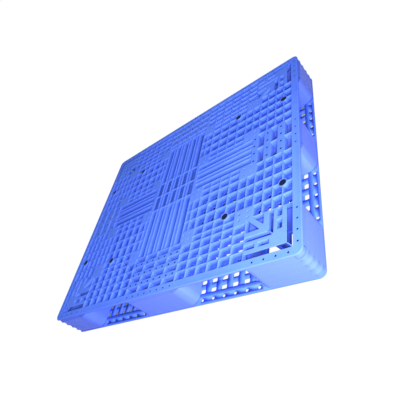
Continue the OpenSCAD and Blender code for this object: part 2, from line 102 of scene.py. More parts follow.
# Blocks, with the ridges of the corner ones
block_low, block_high = bottom_t, height - top_t
block_r, block_wall, web_t = 40.0, 6.0, 4.0
web_corner_r, diagonal_corner_r, far_corner_r = 6.0, 24.0, 16.0
block_steps, cavity_steps = 10, 6
ridges, ridge_t, ridge_depth, hollow_edge = 4, 7.0, 6.0, 2.0
hollow_r = corner_r + (ridge_depth + hollow_edge * 2 ** 0.5) * (1 + 2 ** 0.5)
crease = hollow_r - hollow_edge - np.sqrt(2 * hollow_r * hollow_edge - hollow_edge ** 2)
lead_start = 7.0

# Plugs, their sockets and the gate pads
plug_d, plug_head_t, plug_stem_d, plug_gap, socket_wall = 28.0, 6.0, 12.0, 0.15, 4.0
gate_pad_d = 20.0
barb_d, barb_t = plug_stem_d + 3, 3.0

# Moulded edges: rib tops, wall draft, floor corners, small edges and hair-fine ones
edge_r = 1.1
draft = 0.5
fillet = 1.8
fine_edge = 0.7
hair_edge = 0.2

# Corner radii in plan: cells, drains and pockets, L slots, the split square and the rim drains' hollows
cell_r, hole_r, slot_r, square_r, rim_hollow_r = 3.0, 2.5, 1.5, 2.0, 4.0

# Points round a corner of cells, bitten cells and most holes, and round vents, holes, drains and plugs
cell_steps, bitten_steps, corner_steps = 2, 8, 3
vent_steps, hole_steps, drain_steps, plug_steps = 16, 12, 20, 32

# Wear and painted shade: one is rubbed bare, zero is clean, and below zero the plastic is painted dark as shade
full_wear, edge_wear, light_wear, painted_wall_shade, painted_floor_shade, painted_black_shade = 1.0, 0.6, 0.2, -0.4, -0.5, -1.0


def spread(low, high, pitch):
    """Ribs at a steady pitch, centred between low and high, clear of both by at least an edge cell."""
    n = int((high - low - 2 * edge_cell) // pitch)
    return (low + high) / 2 + (np.arange(n + 1) - n / 2) * pitch


lane_ribs_x = spread(lane_x0, lane_x1, pitch_x)
lane_ribs_y = spread(lane_y0, lane_y1, pitch_y)
grid_x = np.r_[lane_x0 - past_mid_x, lane_x0, lane_ribs_x, lane_x1, lane_x1 + past_corner_x]
grid_y = np.r_[lane_y0 - past_mid_y, lane_y0, lane_ribs_y, lane_y1, lane_y1 + past_corner_y]
band_ribs_x = np.linspace(lane_x1 + past_corner_x, rim_x + rib_t / 2, band_cells + 1)
band_ribs_y = np.linspace(lane_y1 + past_corner_y, rim_y + rib_t / 2, band_cells + 1)
side_ribs_x = np.r_[lane_x0 - zone_in, lane_ribs_x, lane_x1 + zone_in]
end_ribs_y = np.r_[lane_y0 - zone_in, lane_ribs_y, lane_y1 + zone_in]
slat_ribs_x = (np.array([[0.5], [1.5]]) * slat_pitch_x + np.array([-0.5, 0.5]) * slat_w_x).ravel()
slat_ribs_y = 0.5 * slat_pitch_y + np.array([-0.5, 0.5]) * slat_w_y
slat_edges_x = np.r_[-slat_ribs_x[0], slat_ribs_x, grid_x[0]]
slat_edges_y = np.r_[-slat_ribs_y[0], slat_ribs_y, grid_y[0]]
side_zone_x, side_zone_y = lane_x0 - zone_in, lane_y1 + zone_in
end_zone_x, end_zone_y = lane_x1 + past_corner_x, lane_y0 - zone_in
corner_zone_x, corner_zone_y = lane_x1 + zone_in, lane_y1 + zone_in
row_pitch = (rim_y - side_zone_y) / (pocket_rows - 1 + row_share)
column_pitch = (rim_x - end_zone_x) / (end_columns - 1 + column_share)
row_h, column_w = row_pitch * row_share, column_pitch * column_share
pocket_rows_y = side_zone_y + np.arange(pocket_rows) * row_pitch
pocket_columns_x = end_zone_x + np.arange(end_columns) * column_pitch
strips_y = pocket_rows_y[1:] - (row_pitch - row_h) / 2
strips_x = pocket_columns_x - (column_pitch - column_w) / 2
plug_spots = np.array([[lane_ribs_x[-2], lane_ribs_y[-1]], [band_ribs_x[-2], lane_ribs_y[-2]]])
gate_spots = np.array([[lane_ribs_x[1], lane_ribs_y[1]], [lane_ribs_x[1], band_ribs_y[2]]])
socket_r = plug_d / 2 + plug_gap
quarters = np.array([[-1, -1], [1, -1], [-1, 1], [1, 1]])


def unit(angle):
    """Unit vectors in plan at angles in radians."""
    return np.stack([np.cos(angle), np.sin(angle)], axis=-1)


def corners_of(rects):
    """The corners of rectangles (x0, x1, y0, y1), counter-clockwise from low X low Y."""
    return np.stack([rects[:, [0, 1, 1, 0]], rects[:, [2, 2, 3, 3]]], axis=-1)


def inset(rects, by):
    """Rectangles with each side moved in by the same distance."""
    return rects + by * np.array([1, -1, 1, -1])


def rects_from(low, high):
    """Rectangles (x0, x1, y0, y1) from their low and high corners."""
    return np.stack([low[:, 0], high[:, 0], low[:, 1], high[:, 1]], 1)


def rounded_rects(rects, radii, steps):
    """Loops round rectangles (x0, x1, y0, y1), with a radius for each corner.

    Counter-clockwise from low X low Y, each corner is a quarter circle of `steps` points about a centre
    one radius in from both edges. A point's outward way is that circle's own radius.
    """
    rects = np.asarray(rects, float).reshape(-1, 4)
    n = len(rects)
    r = np.broadcast_to(np.asarray(radii, float), (n, 4))
    centre = corners_of(rects) + r[..., None] * np.array([[1, 1], [-1, 1], [-1, -1], [1, -1]])
    turn = np.radians([180, 270, 0, 90])[:, None] + np.linspace(0, np.pi / 2, steps)
    out = np.broadcast_to(unit(turn), (n, 4, steps, 2))
    base = centre[:, :, None] + r[:, :, None, None] * out
    return base.reshape(n, -1, 2), out.reshape(n, -1, 2)


def bitten_rects(cells, bites, radius, steps):
    """Loops round cells between ribs, with a round boss let into some of their corners.

    A plain corner is as in rounded_rects. A bitten one is an arc of the boss's circle about the crossing
    of the ribs, between the walls it meets; its outward way is to the boss's middle, and the two end
    points go along the mitre of arc and wall. The corner's first and last point lie on the walls beside it.
    """
    base, out = rounded_rects(inset(cells, rib_t / 2), radius, steps)
    base, out = base.reshape(-1, 4, steps, 2).copy(), out.reshape(-1, 4, steps, 2).copy()
    crossing = corners_of(cells)
    beside_r = 1.2
    r = np.where(bites > 0, bites, rib_t)
    slip = np.arcsin(rib_t / 2 / r)[..., None]
    share = np.clip(np.arange(-1, steps - 1) / (steps - 3), 0, 1)
    turn = np.radians([0, 90, 180, 270])[:, None] + np.pi / 2 - slip - (np.pi / 2 - 2 * slip) * share
    ray = unit(turn)
    arc = crossing[:, :, None] + r[..., None, None] * ray
    way = -ray
    for end, beside, wall, along in ((1, 0, [180, 270, 0, 90], -90), (-2, -1, [270, 0, 90, 180], 90)):
        n = unit(np.radians(wall))
        way[:, :, end] = (n - ray[:, :, end]) / (1 - (n * ray[:, :, end]).sum(-1, keepdims=True))
        way[:, :, beside] = n
        arc[:, :, beside] += beside_r * unit(np.radians(wall) + np.radians(along))
    pick = (bites > 0)[..., None, None]
    base = np.where(pick, arc, base)
    out = np.where(pick, way, out)
    return base.reshape(len(cells), -1, 2), out.reshape(len(cells), -1, 2)


def circles(centres, radius, steps):
    """Loops round circles, starting at low X as the rectangles do; the outward way is the radius."""
    out = unit(np.pi + np.arange(steps) * 2 * np.pi / steps)
    base = np.asarray(centres, float).reshape(-1, 1, 2) + radius * out
    return base, np.broadcast_to(out, base.shape)


def rounded_polygon(corners, radius, steps):
    """A loop round a convex polygon: at each corner an arc from one edge's normal to the next one's."""
    p = np.asarray(corners, float)
    edge = np.roll(p, -1, 0) - p
    normal = np.stack([edge[:, 1], -edge[:, 0]], -1) / np.linalg.norm(edge, axis=1)[:, None]
    before = np.roll(normal, 1, 0)
    start = np.arctan2(before[:, 1], before[:, 0])
    bend = (np.arctan2(normal[:, 1], normal[:, 0]) - start) % (2 * np.pi)
    r = np.broadcast_to(np.asarray(radius, float), len(p))
    centre = p - r[:, None] * (before + normal) / (1 + (before * normal).sum(1))[:, None]
    out = unit(start[:, None] + bend[:, None] * np.linspace(0, 1, steps))
    base = centre[:, None] + r[:, None, None] * out
    return base.reshape(1, -1, 2), out.reshape(1, -1, 2)


def to_quarter(loops, sx, sy):
    """First-quarter loops moved to the quarter with these signs, each still counter-clockwise."""
    return [part[:, ::sx * sy] * (sx, sy) for part in loops]


def in_quarters(loops):
    """First-quarter loops copied into all four."""
    copies = [to_quarter(loops, sx, sy) for sx, sy in quarters]
    return tuple(np.concatenate(part) for part in zip(*copies))


def mirrored(rows):
    """First-quarter rows of one or more rectangles (x0, x1, y0, y1) copied into all four, each once."""
    rows = np.asarray(rows, float)
    pairs = rows.reshape(len(rows), -1, 2, 2)
    copies = np.concatenate([np.sort(pairs * q[:, None], axis=-1) for q in quarters])
    return np.unique(np.round(copies.reshape(-1, rows.shape[1]), 6), axis=0)


def mirrored_spots(spots):
    """First-quarter points copied into all four, each once."""
    copies = np.concatenate([np.asarray(spots, float).reshape(-1, 2) * q for q in quarters])
    return np.unique(np.round(copies, 6), axis=0)


def between(xs, ys):
    """Rectangles between neighbouring ribs both ways, as an array (along X, along Y, 4)."""
    x = np.stack([xs[:-1], xs[1:]], 1)[:, None]
    y = np.stack([ys[:-1], ys[1:]], 1)[None]
    shape = (len(xs) - 1, len(ys) - 1, 2)
    return np.concatenate([np.broadcast_to(x, shape), np.broadcast_to(y, shape)], axis=-1)


class Skin:
    """One piece's vertices, normals, wear and painted shade values, and faces, gathered as arrays."""

    def __init__(self):
        self.points, self.normals, self.wear_and_shade, self.faces = [], [], [], []
        self.count = 0

    def add(self, points, normals, wear_and_shade):
        shape = points.shape[:-1]
        index = self.count + np.arange(np.prod(shape)).reshape(shape)
        self.points.append(points.reshape(-1, 3))
        self.normals.append(normals.reshape(-1, 3))
        self.wear_and_shade.append(np.broadcast_to(wear_and_shade, shape).ravel())
        self.count += index.size
        return index

    def strip(self, upper, lower):
        """Quads between rings, facing the loop's inside when the lower ring is below."""
        quad = np.stack([upper, np.roll(upper, -1, -1), np.roll(lower, -1, -1), lower], -1)
        self.faces.append(quad.reshape(-1, 4))

    def cap(self, rings, up=True):
        """One face over each ring."""
        rings = rings.reshape(-1, rings.shape[-1])
        self.faces.append(rings if up else rings[:, ::-1])

    def carry(self, loops, rows, solid=False):
        """A profile carried round loops, with rows of offset, height, normal out, normal up, and wear, which is
        painted shade below zero.

        A ring's point is the loop's point plus the offset along its outward way, at the row's height, and
        its normal is the row's normal turned to that way. The rings face the loop's inside, or its
        outside for a solid. Offsets and heights may differ from point to point.
        """
        base, out = loops
        columns = [np.stack([np.broadcast_to(row[k], base.shape[:2]) for row in rows], 1) for k in range(5)]
        offset, level, aside, up, wear_and_shade = columns
        way = out / np.linalg.norm(out, axis=-1, keepdims=True)
        plan = base[:, None] + offset[..., None] * out[:, None]
        points = np.concatenate([plan, level[..., None]], -1)
        normals = np.concatenate([aside[..., None] * way[:, None], up[..., None]], -1)
        rings = self.add(points, normals, wear_and_shade)
        if solid:
            self.strip(rings[:, 1:], rings[:, :-1])
        else:
            self.strip(rings[:, :-1], rings[:, 1:])
        return rings

    def pierce(self, loops, rows, top, inner):
        """A hole from face to face, with its first and last ring added to the faces' lists."""
        rings = self.carry(loops, rows)
        top.append(rings[:, 0])
        inner.append(rings[:, -1])

    def fill(self, edge, holes, up=True):
        """Triangles in plan between an edge ring and the rings of its holes."""
        rings = [edge.ravel()] + [ring for group in holes for ring in group.reshape(-1, group.shape[-1])]
        index = np.concatenate(rings)
        plan = np.concatenate(self.points)[index, :2]
        starts = np.cumsum([0] + [len(ring) for ring in rings])
        loops = [list(range(a, b)) for a, b in zip(starts[:-1], starts[1:])]
        _, _, faces, verts_from, _, faces_from = delaunay_2d_cdt(
            [Vector(p) for p in plan.tolist()], [], loops, 1, 1e-6)
        if len(verts_from) != len(index):
            raise ValueError("two loops of a face cross or touch")
        back = index[np.array([source[0] for source in verts_from])]
        kept = np.array([face for face, source in zip(faces, faces_from) if source == [0]])
        self.faces.append(back[kept] if up else back[kept][:, ::-1])

    def piece(self, name, node, slot, material, turn=(1, 1, 1), lift=0.0):
        """The gathered arrays as an object that stands for a construction node."""
        points = (np.concatenate(self.points) * turn + (0, 0, lift)) * MM
        normals = np.concatenate(self.normals) * turn
        normals = normals / np.linalg.norm(normals, axis=1)[:, None]
        faces = [face for group in self.faces for face in group.tolist()]
        mesh = bpy.data.meshes.new(name)
        mesh.from_pydata(points.tolist(), [], faces)
        mesh.attributes.new("wear_and_shade", "FLOAT", "POINT").data.foreach_set("value", np.concatenate(self.wear_and_shade))
        mesh.polygons.foreach_set("use_smooth", np.ones(len(faces), bool))
        mesh.normals_split_custom_set_from_vertices(normals.tolist())
        mesh.materials.append(material)
        shown = bpy.data.objects.new(name, mesh)
        bpy.context.scene.collection.objects.link(shown)
        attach(shown, "root")
        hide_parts(node)


def blind_rows(top, bottom, fillet=fillet):
    """A pocket's profile: rounded rim, drafted wall and a filleted corner to its floor; the lower wall and
    floor are painted darker, as shade.
    """
    return [
        (edge_r, top, 0, 1, edge_wear), (0, top - edge_r, -1, 0, full_wear),
        (-draft, bottom + fillet, -1, 0, painted_wall_shade), (-draft - fillet, bottom, 0, 1, painted_floor_shade),
    ]


def through_rows(top, bottom=0.0, wear_and_shade=1.0):
    """A through hole's profile: rounded rim, straight wall and a fine edge on the inner face."""
    return [
        (fine_edge, top, 0, 1, edge_wear * wear_and_shade), (0, top - fine_edge, -1, 0, full_wear * wear_and_shade),
        (0, bottom + fine_edge, -1, 0, 0.1 * wear_and_shade), (fine_edge, bottom, 0, -1, 0),
    ]


def vent_rows(t):
    """A small round hole's profile: a fine rim, and a wall painted black from a little way down, as shade."""
    black_from = 2.0
    return [
        (fine_edge, t, 0, 1, light_wear), (0, t - fine_edge, -1, 0, painted_floor_shade),
        (0, t - black_from, -1, 0, painted_black_shade), (0, fine_edge, -1, 0, painted_black_shade), (fine_edge, 0, 0, -1, 0),
    ]


def drains_of(cells, low, high, most=drain_max, margin=drain_margin):
    """Rectangles in the middle of cells' floors, no wider than a full drain, kept between low and high."""
    middle = (cells[:, 0::2] + cells[:, 1::2]) / 2
    size = np.minimum(most, cells[:, 1::2] - cells[:, 0::2] - rib_t - 2 * margin)
    return rects_from(np.maximum(middle - size / 2, low), np.minimum(middle + size / 2, high))


def hollow_depth(turn):
    """How deep a corner's hollow is, along the corner's radius at the given angle.

    The hollow is a larger circle whose centre lies further in on the diagonal; the depth is the corner
    radius less the distance to that circle.
    """
    back = hollow_r - hollow_edge - corner_r
    way = np.cos(turn) + np.sin(turn)
    return corner_r + back * way - np.sqrt((back * way) ** 2 - 2 * back ** 2 + hollow_r ** 2)


def ridge_profile(low, high):
    """A ridged corner's profile from one height down to another.

    Rows of how far in a ring may lie at most, its height, the outward and upward parts of its normal, and
    its wear. A ridge is its upper half and that half's mirror image. The first and last rows lie just
    inside the two heights.
    """
    soft, step = 1.0, 0.4
    pitch = height / (ridges + 1)
    upper = [(ridge_depth, step, 0.2, 0), (ridge_depth - step, 0, 0.8, 0), (soft, 0, 0.6, 0.1),
             (0, -soft, 0, light_wear)]
    rows = []
    for k in range(ridges, 0, -1):
        rows += [(limit, k * pitch + ridge_t / 2 + rise, 1, up, wear_and_shade) for limit, rise, up, wear_and_shade in upper]
        rows += [(limit, k * pitch - ridge_t / 2 - rise, 1, -up, wear_and_shade) for limit, rise, up, wear_and_shade in upper[::-1]]
    ends = []
    for z in (high - fine_edge, low + fine_edge):
        on_ridge = abs(z / pitch - round(z / pitch)) * pitch < ridge_t / 2
        ends.append((0 if on_ridge else ridge_depth, z, 1, 0, light_wear))
    between_ends = [row for row in rows if low + fine_edge < row[1] < high - fine_edge]
    return ends[:1] + between_ends + ends[1:]


def corner_path():
    """A ridged corner's outline from one crease to the other: places, outward ways and hollow depths.

    On the two faces the depth is how far the hollow's circle lies behind the face.
    """
    face_steps, round_steps = 6, 11
    run = np.linspace(crease, corner_r, face_steps + 1)[:-1]
    turn = np.linspace(0, np.pi / 2, round_steps)
    flat = hollow_r - hollow_edge - np.sqrt(hollow_r ** 2 - (hollow_r - hollow_edge - run) ** 2)
    places = np.concatenate([
        np.stack([np.full(face_steps, half_l), half_w - run], 1),
        (half_l - corner_r, half_w - corner_r) + corner_r * unit(turn),
        np.stack([half_l - run[::-1], np.full(face_steps, half_w)], 1)])
    ways = np.concatenate([
        np.tile((1.0, 0.0), (face_steps, 1)), unit(turn), np.tile((0.0, 1.0), (face_steps, 1))])
    return places, ways, np.concatenate([flat, hollow_depth(turn), flat[::-1]])


def rim_side(t, half, lane_a, lane_b):
    """Stations along half a side, from its middle to the corner's round.

    Rows of place, height of the edge's lower side, how far in it runs and its height there: flush over the
    blocks, sloped over the lane, and cut back to each block's own rounded edge beside it.
    """
    rise = t - rim_edge_t
    steps = 7
    bend = np.linspace(np.arcsin(lead_start / block_r), np.arccos(1 - lead_in_w / block_r), steps)
    reach = block_r * (1 - np.cos(bend))
    slope = np.stack([block_r * np.sin(bend), np.full(steps, rise), np.maximum(reach, least_reach),
                      rise * (1 - reach / lead_in_w)], 1)
    near, far = slope.copy(), slope[::-1].copy()
    near[:, 0] += lane_a - block_r
    far[:, 0] = lane_b + block_r - far[:, 0]
    gap = 0.2
    flush = (0.0, least_reach, 0.0)
    return np.concatenate([
        [(near[0, 0] - gap, *flush)], near, far, [(far[-1, 0] + gap, *flush)],
        [(half - crease - gap, *flush)],
    ])


def rim_stations(t):
    """The deck's outline with its edge heights and reaches, counter-clockwise."""
    end, side = rim_side(t, half_w, lane_y0, lane_y1), rim_side(t, half_l, lane_x0, lane_x1)
    corner, corner_way, depth = corner_path()
    depth = np.maximum(depth, least_reach)
    rise = np.full(len(depth), t - rim_edge_t)
    places = [
        np.stack([np.full(len(end), half_l), end[:, 0]], 1),
        corner,
        np.stack([side[::-1, 0], np.full(len(side), half_w)], 1),
    ]
    ways = [np.tile((1.0, 0.0), (len(end), 1)), corner_way, np.tile((0.0, 1.0), (len(side), 1))]
    facts = np.concatenate([end[:, 1:], np.stack([rise, depth, rise], 1), side[::-1, 1:]])
    base, out = np.concatenate(places), np.concatenate(ways)
    copies = []
    for sx, sy in ((1, 1), (-1, 1), (-1, -1), (1, -1)):
        step = sx * sy
        copies.append((base[::step] * (sx, sy), out[::step] * (sx, sy), facts[::step]))
    base, out, facts = (np.concatenate(part) for part in zip(*copies))
    return base[None], out[None], facts.T


def rim(skin, t):
    """The deck's outer band; returns its top ring, the two rings of its underside and its inner ring.

    The outer edge is a quarter ellipse over a straight face. Below the face the underside slopes in over
    the lanes, and then a wall goes down to the inner face. At the corners that wall is the ridged column.
    """
    base, out, (edge, reach, inner) = rim_stations(t)
    rise = t - rim_edge_t
    face_round, tuck, least_face, least_roof, near_level = 1.0, 0.3, 0.5, 0.4, 0.01
    wall_back, wall_slant, wall_foot, foot_edge = 0.05, 0.1, 0.15, 0.25

    def underside(far):
        return edge + (inner - edge) * far / reach

    lean = np.where(inner < edge, np.arctan2(rise, lead_in_w), 0)
    corner = inner > rise - near_level
    wide = rim_bevel + corner * (reach - least_reach) * corner_bevel
    bevel = [(-wide * (1 - np.sin(a)), t - rim_bevel * (1 - np.cos(a)), np.sin(a), np.cos(a), 0.05)
             for a in np.linspace(0, np.pi / 2, 5)]
    face_end = np.maximum(underside(face_round), least_face)
    face = [(0, edge + face_round, 1, 0, 0.3), (-face_round, face_end, np.sin(lean), -np.cos(lean), light_wear)]
    upper = skin.carry((base, out), bevel + face, solid=True)

    if t == top_t:
        profile = ridge_profile(height - t, height - rim_edge_t)
        column = [(limit, z - height + t, *rest) for limit, z, *rest in profile]
    else:
        profile = ridge_profile(rim_edge_t, t)[::-1]
        column = [(limit, t - z, aside, -up, wear_and_shade) for limit, z, aside, up, wear_and_shade in profile]
    start = np.maximum(inner - tuck, tuck)
    wall = [(np.where(corner, -np.minimum(limit, reach), -reach - wall_back - wall_slant * share),
             np.where(corner, level, start + (wall_foot - start) * share),
             np.where(corner, aside, 1), np.where(corner, up, 0), wear_and_shade * corner)
            for share, (limit, level, aside, up, wear_and_shade) in zip(np.linspace(0, 1, len(column)), column)]
    roof = (tuck - reach, np.maximum(underside(reach - tuck), least_roof), np.sin(lean), -np.cos(lean), 0.1)
    foot = np.where(corner, -np.minimum(column[-1][0], reach), -reach) - foot_edge
    lower = skin.carry((base, out), [roof] + wall + [(foot, 0, 0, -1, 0)], solid=True)
    return upper[:, 0], upper[:, -1], lower[:, 0], lower[:, -1]


def lane_cells():
    """A quarter's cells over its lane crossing and one past it each way; which are shut; which lie over it.

    The cells two deep both ways in the four corners are shut.
    """
    lane = between(grid_x, grid_y)
    ends_x, ends_y = (np.isin(np.arange(n), [0, 1, n - 2, n - 1]) for n in lane.shape[:2])
    over_lane = np.zeros(lane.shape[:2], bool)
    over_lane[1:-1, 1:-1] = True
    return lane, ends_x[:, None] & ends_y, over_lane


def drained_cells(plugged):
    """All cells with a drain, the drains, and a quarter's blind cells about its lane crossing.

    The bottom deck's drains are wide, and its cells at the lane's outer edge reach into the band beyond.
    """
    lane, shut, over_lane = lane_cells()
    side, end = between(side_ribs_x, band_ribs_y), between(band_ribs_x, end_ribs_y).reshape(-1, 4)
    far = (half_l, half_w)
    if plugged:
        drained, blind, side = lane[over_lane & ~shut], lane[~over_lane & ~shut], side.reshape(-1, 4)
        lane_drains = drains_of(drained, (0, 0), far)
    else:
        joined = between(lane_ribs_x, np.r_[lane_y1, band_ribs_y[1]])[:, 0]
        drained = np.concatenate([lane[:, :-1][~shut[:, :-1]], joined])
        blind, side = lane[:0, 0], np.concatenate([side[:, 1:].reshape(-1, 4), side[[0, -1], 0]])
        lane_drains = drains_of(drained, (0, 0), far, open_max, open_margin)
    cells = np.concatenate([drained, side, end])
    drains = np.concatenate([
        lane_drains,
        drains_of(side, (lane_x0 + 1, 0), (lane_x1 - 1, half_w)),
        drains_of(end, (0, lane_y0 + 1), (half_l, lane_y1 - 1)),
    ])
    both = mirrored(np.concatenate([cells, drains], 1))
    return both[:, :4], both[:, 4:], blind


def drained_pits(skin, t, top, inner, cells, drains, plugged):
    """Cells with a drain in their floor; a cell beside a gate pad or a socket is bitten by its boss."""
    same_spot, beside_socket, drain_flare = 0.1, 0.82, 0.3
    gates, plugs = mirrored_spots(gate_spots), mirrored_spots(plug_spots if plugged else [])
    bosses = np.concatenate([gates, plugs])
    boss_r = np.repeat([gate_pad_d / 2, socket_r + socket_wall], [len(gates), len(plugs)])
    near = np.linalg.norm(corners_of(cells)[:, :, None] - bosses, axis=-1) < same_spot
    bites = (near * boss_r).sum(-1)
    plain = ~bites.any(1)
    middle = (drains[:, 0::2] + drains[:, 1::2]) / 2
    shrink = np.where(bites.max(1) > socket_r, beside_socket, 1.0)[:, None]
    half = np.minimum((drains[:, 1::2] - drains[:, 0::2]) / 2, drain_max / 2) * shrink
    small = rects_from(middle - half, middle + half)
    # The drain's rim on the floor is painted darker, as shade
    drain_rows = [(fine_edge, floor_t, 0, 1, painted_floor_shade), (0, floor_t - fine_edge, -1, 0, 0),
                  (drain_flare, 0, -0.7, -0.7, 0)]
    for wells, holes in (
            (rounded_rects(inset(cells[plain], rib_t / 2), cell_r, cell_steps),
             rounded_rects(drains[plain], hole_r, cell_steps)),
            (bitten_rects(cells[~plain], bites[~plain], cell_r, bitten_steps),
             rounded_rects(small[~plain], hole_r, bitten_steps))):
        pit = skin.carry(wells, blind_rows(t, floor_t))
        hole = skin.carry(holes, drain_rows)
        skin.strip(pit[:, -1], hole[:, 0])
        top.append(pit[:, 0])
        inner.append(hole[:, -1])


def shut_cells(skin, t, top, inner):
    """Closed cells with a round vent: hollow below over a lane, and a blind round hole over a block."""
    lane, shut, over_lane = lane_cells()
    for hollow_below in (True, False):
        cells = mirrored(lane[shut & (over_lane == hollow_below)])
        ends = np.clip(cells[:, 2:], -side_zone_y, side_zone_y)
        vent = circles(np.stack([cells[:, :2].mean(1), ends.mean(1)], 1), vent_d / 2, vent_steps)
        if hollow_below:
            roof = t - skin_t
            pit = skin.carry(vent, through_rows(t, roof))
            hollow = skin.carry(rounded_rects(inset(cells, rib_t / 2), cell_r, vent_steps // 4), [
                (-fillet, roof, 0, -1, 0), (0, roof - fillet, -1, 0, 0), (draft, 0, -0.7, -0.7, 0)])
            skin.strip(pit[:, -1], hollow[:, 0])
            inner.append(hollow[:, -1])
        else:
            pit = skin.carry(vent, blind_rows(t, floor_t))
            skin.cap(pit[:, -1])
        top.append(pit[:, 0])


def pits(skin, t, top, inner, plugged):
    """All cells of the grid with their floors and drains; adds their rings to the two faces' lists."""
    cells, drains, blind = drained_cells(plugged)
    drained_pits(skin, t, top, inner, cells, drains, plugged)
    blind = np.concatenate([
        blind,
        between(slat_edges_x, end_ribs_y[[0, -1]]).reshape(-1, 4),
        between(side_ribs_x[[0, -1]], slat_edges_y).reshape(-1, 4),
        between(slat_edges_x, np.r_[0, end_ribs_y[0]])[1::2].reshape(-1, 4),
    ])
    loops = rounded_rects(inset(mirrored(blind), rib_t / 2), cell_r, corner_steps)
    pit = skin.carry(loops, blind_rows(t, floor_t))
    skin.cap(pit[:, -1])
    top.append(pit[:, 0])
    shut_cells(skin, t, top, inner)


def open_pockets(skin, t, top, inner):
    """Pockets right through over the centre, side and end blocks; the centre ones are painted dark inside, as
    shade.
    """
    r = rib_t / 2
    centre = inset(between(slat_edges_x, np.r_[0, end_ribs_y[0]])[0::2].reshape(-1, 4), r)
    side = np.zeros((2, pocket_rows, 4))
    side[..., :2] = (np.array([[0, 0.5], [0.5, 1]]) * side_zone_x + (r, -r))[:, None]
    side[..., 2:] = np.stack([pocket_rows_y, pocket_rows_y + row_h], 1)
    end = np.stack(np.broadcast_arrays(pocket_columns_x, pocket_columns_x + column_w, r, end_zone_y), 1)
    rows = through_rows(t)
    # Painted shade: the centre pockets' walls turn dark from a few millimetres down
    shade_from, shade_to = t - 4.0, t - 10.0
    shade = [(0, shade_from, -1, 0, 0.1), (0, shade_to, -1, 0, -0.6)]
    for pockets, below in ((centre, shade), (np.concatenate([side.reshape(-1, 4), end]), [])):
        loops = rounded_rects(mirrored(pockets), hole_r, corner_steps)
        skin.pierce(loops, rows[:2] + below + rows[2:], top, inner)


def round_holes(skin, t, top, inner):
    """Vents on the strips beside the pockets, and small holes along the rim at the corners and blocks."""
    side_x = (np.arange(side_vents) + 0.5) * side_zone_x / side_vents
    end_y = (np.arange(end_vents) + 0.5) * end_zone_y / end_vents
    run = corner_r + corner_hole_clear + np.arange(corner_holes) * rim_hole_pitch
    far_x, far_y = half_l - rim_hole_in, half_w - rim_hole_in
    vents = np.concatenate([
        np.stack(np.meshgrid(side_x, strips_y), -1).reshape(-1, 2),
        np.stack(np.meshgrid(strips_x, end_y), -1).reshape(-1, 2)])
    small = np.concatenate([np.stack(np.broadcast_arrays(x, y), 1) for x, y in (
        (half_l - run, far_y), (far_x, half_w - run), (side_x, far_y), (far_x, end_y))])
    for spots, size in ((vents, vent_d), (small, rim_hole_d)):
        skin.pierce(circles(mirrored_spots(spots), size / 2, hole_steps), vent_rows(t), top, inner)


def corner_slots(skin, t, top, inner):
    """The pattern over the corner blocks: nested L slots, short pockets and a split square.

    Every loop is made in the first quarter and copied. A thick deck is hollow below the pattern, under a
    roof at that depth.
    """
    lean = web_t / 2 ** 0.5
    spare = diagonal_w / 2 ** 0.5
    roof = max(t - pattern_t, 0.0)
    low_rings = []

    def together(loops):
        return in_quarters(tuple(np.concatenate(part) for part in zip(*loops)))

    def legs(a, b):
        along_x = [(corner_zone_x, rim_y - b), (rim_x - b - lean, rim_y - b),
                   (rim_x - a - lean, rim_y - a), (corner_zone_x, rim_y - a)]
        along_y = [(rim_x - b, corner_zone_y), (rim_x - a, corner_zone_y),
                   (rim_x - a, rim_y - a - lean), (rim_x - b, rim_y - b - lean)]
        return together([rounded_polygon(p, slot_r, corner_steps) for p in (along_x, along_y)])

    x0, x1 = corner_zone_x - rim_x, -strip_c
    y0, y1 = corner_zone_y - rim_y, -strip_c
    triangles = [
        [(y0 + spare, y0), (x1, y0), (x1, x1 - spare)],
        [(x0, x0 + spare), (y1 - spare, y1), (x0, y1)],
    ]
    square = together([rounded_polygon(np.array(corners) + (rim_x, rim_y), square_r, corner_steps)
                       for corners in triangles])
    leg_x = (rim_x - corner_zone_x - strip_a - pocket_w - pocket_gap) / 2
    leg_y = (rim_y - corner_zone_y - strip_a - pocket_w - pocket_gap) / 2
    x, y = corner_zone_x + np.arange(2) * leg_x, corner_zone_y + np.arange(2) * leg_y
    far_x, far_y = rim_x - strip_a + 0 * x, rim_y - strip_a + 0 * y
    pockets = in_quarters(rounded_rects(np.concatenate([
        np.stack([x, x + leg_x - pocket_gap, far_y - pocket_w, far_y], 1),
        np.stack([far_x - pocket_w, far_x, y, y + leg_y - pocket_gap], 1)]), hole_r, corner_steps))
    for shape in (legs(strip_b, strip_b + channel_w), square, pockets):
        skin.pierce(shape, through_rows(t, roof), top, low_rings)

    ledge, ledge_r = t - lip_t, 0.4
    slot = skin.carry(legs(0, slot_w), through_rows(t)[:2] + [(0, ledge, -0.7, -0.7, 0.3)])
    under = skin.carry(legs(0, strip_a - rib_t), [
        (-ledge_r, ledge, 0, -1, 0), (0, ledge - ledge_r, -1, 0, 0)] + through_rows(t, roof, wear_and_shade=0.0)[2:])
    skin.strip(slot[:, -1], under[:, 0])
    top.append(slot[:, 0])
    low_rings.append(under[:, -1])
    if roof == 0:
        inner.extend(low_rings)
        return
    room = inset(np.array([corner_zone_x, rim_x, corner_zone_y, rim_y]), -2 * fine_edge)
    hollow = skin.carry(in_quarters(rounded_rects(room, hole_r, corner_steps)), [
        (-hair_edge, roof, 0, -1, 0), (0, roof - hair_edge, -1, 0, 0), (hair_edge, 0, -0.7, -0.7, 0)])
    for q in range(4):
        skin.fill(hollow[q, 0], [ring.reshape(4, -1, ring.shape[-1])[q] for ring in low_rings], up=False)
    inner.append(hollow[:, -1])


